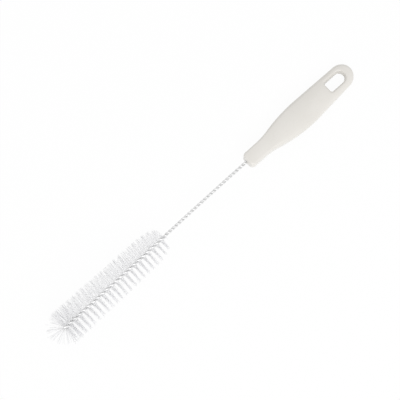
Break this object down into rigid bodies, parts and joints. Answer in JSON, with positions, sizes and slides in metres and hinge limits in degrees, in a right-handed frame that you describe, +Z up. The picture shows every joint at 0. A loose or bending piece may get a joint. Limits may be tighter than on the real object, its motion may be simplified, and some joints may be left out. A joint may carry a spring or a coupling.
{
  "type": "bottle brush",
  "caption": "Bottle brush with white bristles in a spiral along a twisted steel wire, a fanned tip, and an off-white plastic handle with a hanging hole.",
  "frame": {"origin": "centre of the bounding box's bottom, on the floor the brush lies on", "axes": "+X along the brush towards the handle's butt, +Y across it, +Z up from the floor"},
  "size_m": [0.299, 0.0282, 0.0302],
  "materials": {
    "handle_plastic": "off-white moulded plastic with a soft sheen",
    "steel_wire": "bright drawn steel wire",
    "nylon_bristle": "clear white nylon filament"
  },
  "bodies": {
    "root": {"handle": "handle_plastic", "twisted_wire": "steel_wire", "tip_tuft": "nylon_bristle", "bristle_row_01": "nylon_bristle", "bristle_row_02": "nylon_bristle", "bristle_row_03": "nylon_bristle", "bristle_row_04": "nylon_bristle", "bristle_row_05": "nylon_bristle", "bristle_row_06": "nylon_bristle", "bristle_row_07": "nylon_bristle", "bristle_row_08": "nylon_bristle", "bristle_row_09": "nylon_bristle", "bristle_row_10": "nylon_bristle", "bristle_row_11": "nylon_bristle", "bristle_row_12": "nylon_bristle", "bristle_row_13": "nylon_bristle", "bristle_row_14": "nylon_bristle", "bristle_row_15": "nylon_bristle", "bristle_row_16": "nylon_bristle", "bristle_row_17": "nylon_bristle", "bristle_row_18": "nylon_bristle", "bristle_row_19": "nylon_bristle", "bristle_row_20": "nylon_bristle", "bristle_row_21": "nylon_bristle", "bristle_row_22": "nylon_bristle"}
  },
  "joints": []
}
